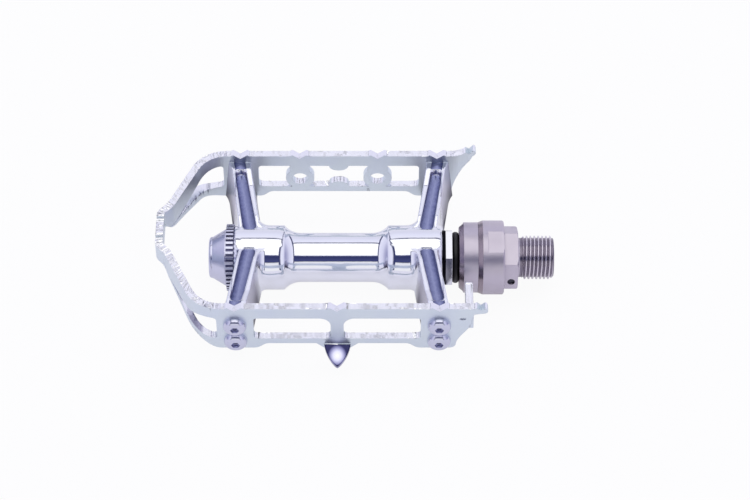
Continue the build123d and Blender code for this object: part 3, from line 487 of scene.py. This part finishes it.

# %% [markdown]
# A polishing wheel can't reach these floors, so they stay matt, with a blue cast. Painted shade makes
# them darker beside the walls than in the middle, and a fine grain shifts the shades to and fro,
# because a forged surface is never even.

# %% Matt blue of the grooves, with painted shade beside the walls
FLOOR_TINT_AND_SHADE_STOPS = (
    (0.0, "#5c6086"),
    (0.25, "#8085ad"),
    (0.55, "#9ba0c6"),
    (0.8, "#7c81ac"),
    (1.0, "#525780"),
)
GRAIN_SCALE = 900.0
GRAIN_SPREAD = 0.3

place = add(
    tree, "ShaderNodeMapRange", {"From Min": -GROOVE_HALF, "From Max": GROOVE_HALF}, {0: (across, 0)}
)
grain = add(
    tree, "ShaderNodeTexNoise", {"Scale": GRAIN_SCALE, "Detail": 3.0}, {"Vector": (where, "Object")}
)
spread = add(
    tree,
    "ShaderNodeMath",
    {"operation": "MULTIPLY_ADD", 1: GRAIN_SPREAD, 2: -GRAIN_SPREAD / 2},
    {0: (grain, 0)},
)
shifted = add(tree, "ShaderNodeMath", {"operation": "ADD"}, {0: (place, 0), 1: (spread, 0)})
# Blue cast with painted shade, darker beside the walls.
shades = with_stops(add(tree, "ShaderNodeValToRGB", links={"Fac": (shifted, 0)}), FLOOR_TINT_AND_SHADE_STOPS)
refinish_and_paint_light(polished_aluminium, groove, shades, 0.25)

# %% [markdown]
# The dust cap is knurled, so that fingers can turn it. The valleys between its teeth lie in shade.

# %% Valleys of the knurl
KNURL_VALLEY = 10.45 * MM
VALLEY_HALF = 0.17 * MM

tree = cap_aluminium.node_tree
radius = axle_distance(tree)
valley = add(
    tree, "ShaderNodeMath", {"operation": "COMPARE", 1: KNURL_VALLEY, 2: VALLEY_HALF}, {0: (radius, "Value")}
)
refinish_and_paint_light(cap_aluminium, valley, "#5c5c7c", 0.35)

# %% [markdown]
# A rider flips the pedal over with the tab at the rear plate, and shoes rub it smooth. The real tab is
# pressed into a shallow dish, which mirrors bright in the middle and dark round the rim. The solid
# tab is flat, so that dish's reflection is painted as rings of colour round its middle.

# %% Tab with a painted reflection
TAB_FOOT = -33.35 * MM
TAB_MIDDLE = -36.9 * MM
TAB_HALF = 3.1 * MM
TAB_LONG = 3.4 * MM
TAB_ROUNDING = 0.8 * MM
TAB_REFLECTION_STOPS = (
    (0.0, "#e9e9fa"),
    (0.4, "#d2d2ec"),
    (0.75, "#8484ae"),
    (0.95, "#3c3c66"),
    (1.0, "#34345a"),
)

tree = satin_aluminium.node_tree
where = add(tree, "ShaderNodeTexCoord")
parts = add(tree, "ShaderNodeSeparateXYZ", links={0: (where, "Object")})
tab = add(tree, "ShaderNodeMath", {"operation": "LESS_THAN", 1: TAB_FOOT}, {0: (parts, "Y")})
beside = add(tree, "ShaderNodeMath", {"operation": "ADD", 1: -HUB_CENTER}, {0: (parts, "X")})
beside_share = add(tree, "ShaderNodeMath", {"operation": "DIVIDE", 1: TAB_HALF}, {0: (beside, 0)})
along = add(tree, "ShaderNodeMath", {"operation": "ADD", 1: -TAB_MIDDLE}, {0: (parts, "Y")})
along_share = add(tree, "ShaderNodeMath", {"operation": "DIVIDE", 1: TAB_LONG}, {0: (along, 0)})
spot = add(tree, "ShaderNodeCombineXYZ", links={"X": (beside_share, 0), "Y": (along_share, 0)})
distance = add(tree, "ShaderNodeVectorMath", {"operation": "LENGTH"}, {0: (spot, 0)})
# Painted reflection of the tab's dish: bright middle, dark rim.
shades = with_stops(add(tree, "ShaderNodeValToRGB", links={"Fac": (distance, "Value")}), TAB_REFLECTION_STOPS)
refinish_and_paint_light(satin_aluminium, tab, shades, 0.08)
rounding = add(
    tree, "ShaderNodeMath", {"operation": "MULTIPLY_ADD", 1: TAB_ROUNDING, 2: EDGE_MM * MM}, {0: (tab, 0)}
)
tree.links.new(rounding.outputs[0], tree.nodes["Bevel"].inputs["Radius"])

# %% [markdown]
# The roots of the crank thread get a darker colour: painted shade in the narrow grooves.

# %% Painted shade in the roots of the thread
THREAD_ROOT = 6.52 * MM

tree = thread_steel.node_tree
radius = axle_distance(tree)
# Painted shade in the thread's roots.
root_shade = add(tree, "ShaderNodeMath", {"operation": "LESS_THAN", 1: THREAD_ROOT}, {0: (radius, "Value")})
refinish_and_paint_light(thread_steel, root_shade, "#857d8c", 0.25)

# %% [markdown]
# The adaptor's shoulders that face the pedal look away from the light, and are faced off smoother
# than its turned sides.

# %% Adaptor faces towards the pedal
TOWARDS_PEDAL = -0.35

tree = adaptor_steel.node_tree
where = add(tree, "ShaderNodeTexCoord")
facing = add(tree, "ShaderNodeSeparateXYZ", links={0: (where, "Normal")})
shoulder = add(tree, "ShaderNodeMath", {"operation": "LESS_THAN", 1: TOWARDS_PEDAL}, {0: (facing, "X")})
refinish_and_paint_light(adaptor_steel, shoulder, "#a2959f", 0.25)

# %% [markdown]
# The axle shows only between the pedal body and the adaptor, as a chromed hexagon. Its lower flats
# are rougher, and darker by painted shade. Further in it runs into the narrow gap beside the hub,
# and is painted near-black there, as painted shade for the gap.

# %% Hexagon and gap of the axle, with painted shade
LOWER_FLATS = 0.3
AXLE_GAP = -24.7 * MM

tree = axle_steel.node_tree
where = add(tree, "ShaderNodeTexCoord")
parts = add(tree, "ShaderNodeSeparateXYZ", links={0: (where, "Object")})
facing = add(tree, "ShaderNodeSeparateXYZ", links={0: (where, "Normal")})
# Painted shade on the lower flats and, below, in the gap.
shaded_lower_flats = add(tree, "ShaderNodeMath", {"operation": "LESS_THAN", 1: LOWER_FLATS}, {0: (facing, "Z")})
refinish_and_paint_light(axle_steel, shaded_lower_flats, "#968a96", 0.2)
gap_shade = add(tree, "ShaderNodeMath", {"operation": "LESS_THAN", 1: AXLE_GAP}, {0: (parts, "X")})
refinish_and_paint_light(axle_steel, gap_shade, "#14141c", 0.5)

# %% [markdown]
# Each node of the frame gets the finish of its record slot.

# %% Finishes on the frame's nodes
FINISH_OF_SLOT = {
    "polished_aluminium": polished_aluminium,
    "satin_aluminium": satin_aluminium,
    "cap_aluminium": cap_aluminium,
    "screw_steel": screw_steel,
    "axle_steel": axle_steel,
    "adaptor_steel": adaptor_steel,
    "thread_steel": thread_steel,
    "bearing_steel": bearing_steel,
    "spring_steel": spring_steel,
    "pin_steel": pin_steel,
    "black_rubber": rubber,
}
slot_of_node = {part["node"]: part["material_slot"] for part in frame["record"]["subparts"]}
for node_name, node in frame["nodes"].items():
    node.data.materials.clear()
    node.data.materials.append(FINISH_OF_SLOT[slot_of_node[node_name]])
print("finished nodes", len(slot_of_node))

# %% [markdown]
# The solid model carries the crank thread as a plain cylinder. The real thread is 9/16 inch across with
# 20 turns an inch, cut left-handed, as on every left pedal. Its profile swings between crest and
# root, with flats on both. A cone at each end takes the chamfers off, and the relief groove stays
# as it is.

# %% Profile of the crank thread
CREST = 7.1 * MM
ROOT = 6.35 * MM
PITCH = 25.4 / 20 * MM
RELIEF = 6.4 * MM
THREAD_START = -0.65 * MM
THREAD_END = 10.4 * MM
TIP_RADIUS = 6.1 * MM
FLAT_SHARE = 1.35


def thread_radius(along, phase):
    """Gives the thread's radius at a place along the axle and a share of a turn of its profile."""
    wave = max(-1.0, min(1.0, FLAT_SHARE * math.cos(2 * math.pi * phase)))
    radius = (CREST + ROOT) / 2 + wave * (CREST - ROOT) / 2
    if along <= 0:
        return RELIEF
    return min(radius, RELIEF + along, TIP_RADIUS + THREAD_END - along)


# %% [markdown]
# The thread's surface is one grid that follows the helix: each column is the same profile, slid along
# by its share of a turn. That keeps the crests sharp with few faces, where cutting a coil out of a
# cylinder would leave ragged ones. The open rims are filled, so that the piece is solid.

# %% Surface of the crank thread
STEPS_ROUND = 96
STEPS_PER_TURN = 14
SAME_POINT = 0.0001 * MM


def crank_thread():
    """Makes the left-hand thread as a closed solid from the relief groove to the tip."""
    turns = math.ceil((THREAD_END - THREAD_START) / PITCH) + 1
    rows = turns * STEPS_PER_TURN
    bm = bmesh.new()
    columns = []
    for step in range(STEPS_ROUND + 1):
        share = step / STEPS_ROUND
        turn = 2 * math.pi * share
        column = []
        for row in range(rows + 1):
            along = THREAD_START + PITCH * (row / STEPS_PER_TURN - share)
            along = max(THREAD_START, min(THREAD_END, along))
            radius = thread_radius(along, row / STEPS_PER_TURN)
            column.append(bm.verts.new((along, radius * math.cos(turn), radius * math.sin(turn))))
        columns.append(column)
    for left, right in zip(columns, columns[1:]):
        for low, high in zip(range(rows), range(1, rows + 1)):
            bm.faces.new((left[low], right[low], right[high], left[high]))
    bmesh.ops.remove_doubles(bm, verts=bm.verts, dist=SAME_POINT)
    bmesh.ops.dissolve_degenerate(bm, edges=bm.edges, dist=SAME_POINT)
    rims = [edge for edge in bm.edges if edge.is_boundary]
    bmesh.ops.holes_fill(bm, edges=rims, sides=0)
    bmesh.ops.recalc_face_normals(bm, faces=bm.faces)
    return bm


# %% [markdown]
# Every mesh made here becomes a piece in the same way: it is shaded smooth up to an angle, gets the
# finish of a slot, and rides on the body that carries it.

# %% From mesh to piece
def finished(name, bm, body, slot_name, sharp_deg=35):
    """Turns a bmesh into a piece that rides on a body and wears a slot's finish."""
    mesh = bpy.data.meshes.new(name)
    bm.to_mesh(mesh)
    bm.free()
    mesh.shade_smooth()
    mesh.set_sharp_from_angle(angle=math.radians(sharp_deg))
    mesh.materials.append(FINISH_OF_SLOT[slot_name])
    piece = bpy.data.objects.new(name, mesh)
    bpy.context.scene.collection.objects.link(piece)
    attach(piece, body)
    print(name, "faces", len(mesh.polygons))
    return piece


thread = finished("crank_thread", crank_thread(), "adaptor", "thread_steel")

# %% [markdown]
# The adaptor's own cylinder has to go where the cut thread stands, so a copy of the adaptor is cut
# through in the relief groove and the copy stands for the node. Its hexagon is shaded smooth only
# over small angles, because its shallow corners would look swollen otherwise.

# %% Adaptor without its plain cylinder
HEXAGON_SHARP_DEG = 12


def copied(node_name):
    """Gives a node's mesh as a bmesh with its doubled points joined."""
    bm = bmesh.new()
    bm.from_mesh(frame["nodes"][node_name].data)
    bmesh.ops.remove_doubles(bm, verts=bm.verts, dist=SAME_POINT)
    return bm


bm = copied("adaptor_body")
everything = bm.verts[:] + bm.edges[:] + bm.faces[:]
cut = bmesh.ops.bisect_plane(
    bm, geom=everything, plane_co=(THREAD_START, 0, 0), plane_no=(1, 0, 0), clear_outer=True
)
rim = [item for item in cut["geom_cut"] if isinstance(item, bmesh.types.BMEdge)]
bmesh.ops.holes_fill(bm, edges=rim, sides=0)
adaptor = finished("adaptor_body_cut", bm, "adaptor", "adaptor_steel", HEXAGON_SHARP_DEG)
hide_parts("adaptor_body")

# %% [markdown]
# Pushing the release collar shortens the wire spring inside it. The spring's mesh is copied and
# rides on its seat, and the share of its length that is left at full travel is worked out. Blending
# it between the two bodies would crowd its middle turns, so that way was left.

# %% Collar spring and its length at full travel
COLLAR_TRAVEL = 2.8 * MM
FREE_PLAY = 0.05 * MM

spring = finished("collar_spring_coil", copied("collar_spring"), "spring_seat", "spring_steel")
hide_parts("collar_spring")
free_end, seat_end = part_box("collar_spring")
spring_length = seat_end[0] - free_end[0]
share = (spring_length - COLLAR_TRAVEL - FREE_PLAY) / spring_length
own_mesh(spring)
print("spring length mm", round(spring_length / MM, 2), "share at full travel", round(share, 3))

# %% [markdown]
# Two of the pieces below need more points than the solids have, in rows that follow the shape. One
# function slices faces by planes that follow one another. Each plane cuts only the faces that it
# crosses, and hands on what lies ahead of it, which keeps the slicing quick.

# %% Slices
TOUCH = 0.0025 * MM
ON_PLANE = 0.00025 * MM


def sliced(bm, faces, places, plane_at):
    """Slices faces by planes that follow one another."""
    waiting = set(faces)
    for place in places:
        point, normal = plane_at(place)
        sides = {face: [(vert.co - point).dot(normal) for vert in face.verts] for face in waiting}
        passed = {face for face, ways in sides.items() if max(ways) < TOUCH}
        crossed = [face for face, ways in sides.items() if min(ways) < -TOUCH and face not in passed]
        waiting -= passed
        if not crossed:
            continue
        waiting -= set(crossed)
        edges = {edge for face in crossed for edge in face.edges}
        verts = {vert for face in crossed for vert in face.verts}
        result = bmesh.ops.bisect_plane(
            bm, geom=crossed + list(edges) + list(verts), dist=ON_PLANE, plane_co=point, plane_no=normal
        )
        for item in result["geom"]:
            if isinstance(item, bmesh.types.BMFace) and item.is_valid:
                ahead = (item.calc_center_median() - point).dot(normal) > 0
                if ahead:
                    waiting.add(item)


# %% [markdown]
# Where two arms meet over the hub, polishing has brought their rims down to the round of the hub, so
# that its reflections run on between the grooves. A copy of the body is sliced across, and the points
# on its top are let down to the hub's round near the axle and back up to the rims further out.
# Level faces are shaded flat, because smooth shading would bend their reflections.

# %% Hub polished round between the grooves
HUB_RADIUS = 10.5 * MM
MERGE = 4.2 * MM
RIM_START = 9.0 * MM
SLICE = 0.6 * MM
TOP_FROM = 10.1 * MM
LEVEL = 0.9995
THIN = 0.001 * MM
BODY_SHARP_DEG = 25


def top_height(across):
    """Gives the height of the polished top at a distance from the axle."""
    if across < MERGE:
        return math.sqrt(HUB_RADIUS ** 2 - across ** 2)
    foot = math.sqrt(HUB_RADIUS ** 2 - MERGE ** 2)
    return foot + (across - MERGE) / (RIM_START - MERGE) * (HUB_RADIUS - foot)


def polished_body():
    """Lets the rims run down into the hub on a copy of the body."""
    bm = copied("pedal_body")
    reach = int(RIM_START / SLICE)
    steps = [SLICE * step for step in range(-reach, reach + 1)]
    tops = [face for face in bm.faces if max(vert.co.z for vert in face.verts) > TOP_FROM]
    sliced(bm, tops, steps, lambda place: (Vector((0, place, 0)), Vector((0, 1, 0))))
    for vert in bm.verts:
        across = abs(vert.co.y)
        if across < RIM_START and vert.co.z > top_height(across):
            vert.co.z = top_height(across)
    bmesh.ops.dissolve_degenerate(bm, edges=bm.edges, dist=THIN)
    return bm


body = finished("pedal_body_polished", polished_body(), "pedal", "polished_aluminium", BODY_SHARP_DEG)
for face in body.data.polygons:
    if abs(face.normal.z) > LEVEL:
        face.use_smooth = False
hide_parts("pedal_body")

# %% [markdown]
# The cage is a band that was pierced and bent, and its upper edge is cut crosswise into fine teeth,
# which hold a leather sole. To make room for them, planes slice a copy of the cage into strips half a
# tooth wide. Round the bent end the planes fan out from a pivot, so that the teeth stay crosswise
# to the band. The pitch is about three pixels of the photograph, near the finest that shows, and
# the real teeth may be finer.

# %% Cage in strips
TOOTH_PITCH = 0.9 * MM
PIVOT_X = -100 * MM
FAN_STEP = math.radians(1.0)
ALONG_AXLE = Vector((1, 0, 0))
pivot = Vector((PIVOT_X, 0, 0))


def striped_cage():
    """Slices a copy of the cage crosswise into strips half a tooth wide."""
    bm = copied("cage")
    sliced(bm, bm.faces, [0], lambda place: (pivot, ALONG_AXLE))
    straight = [face for face in bm.faces if face.calc_center_median().x > PIVOT_X]
    bent = [face for face in bm.faces if face.calc_center_median().x <= PIVOT_X]
    reach = max(vert.co.x for vert in bm.verts) - PIVOT_X
    steps = [PIVOT_X + TOOTH_PITCH / 2 * step for step in range(1, int(2 * reach / TOOTH_PITCH) + 1)]
    sliced(bm, straight, steps, lambda place: (Vector((place, 0, 0)), ALONG_AXLE))
    turns = [FAN_STEP * step for step in range(1, int(math.pi / FAN_STEP))]
    sliced(bm, bent, turns, lambda turn: (pivot, Vector((-math.cos(turn), -math.sin(turn), 0))))
    bm.normal_update()
    return bm


# %% [markdown]
# On every face that looks up, each second line of points goes down by a tooth's depth. All of them
# also go down by a little at random, because the pierced sills are torn and uneven, less so on the
# straight plates. Points beside a slope stay, and so do the lower edges of the bends.

# %% Serrated edges of the cage
TOOTH_DEPTH = 0.14 * MM
TOOTH_SPREAD = 0.24 * MM
PLATE_SHARE = 0.65
UPWARD = 0.75
SIDEWAYS = 0.3
FLAT = 0.985
BENT_TOP = 10.0 * MM
ON_LINE = 0.03
SEED = 5
CAGE_SHARP_DEG = 25


def serrated_cage():
    """Cuts the teeth into a copy of the cage."""
    bm = striped_cage()
    tops = [
        face for face in bm.faces if face.normal.z > UPWARD and face.calc_center_median().y > TAB_FOOT
    ]
    for face in tops:
        face.material_index = 1
    chance = random.Random(SEED)
    top_points = {vert for face in tops for vert in face.verts}
    # The mesh's own order keeps the random draws the same in every run; a set's order doesn't.
    for vert in [vert for vert in bm.verts if vert in top_points]:
        if any(SIDEWAYS < face.normal.z < FLAT for face in vert.link_faces):
            continue
        away = vert.co - pivot
        spread = TOOTH_SPREAD * chance.random()
        if away.x > 0:
            step = away.x * 2 / TOOTH_PITCH
            spread = spread * PLATE_SHARE
        elif vert.co.z < BENT_TOP:
            continue
        else:
            step = math.atan2(-away.x, away.y) / FAN_STEP
        if abs(step - round(step)) < ON_LINE:
            vert.co.z -= TOOTH_DEPTH * (round(step) % 2) + spread
    return bm


cage = finished("cage_serrated", serrated_cage(), "pedal", "satin_aluminium", CAGE_SHARP_DEG)
cage.data.materials.append(cut_edge)
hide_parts("cage")
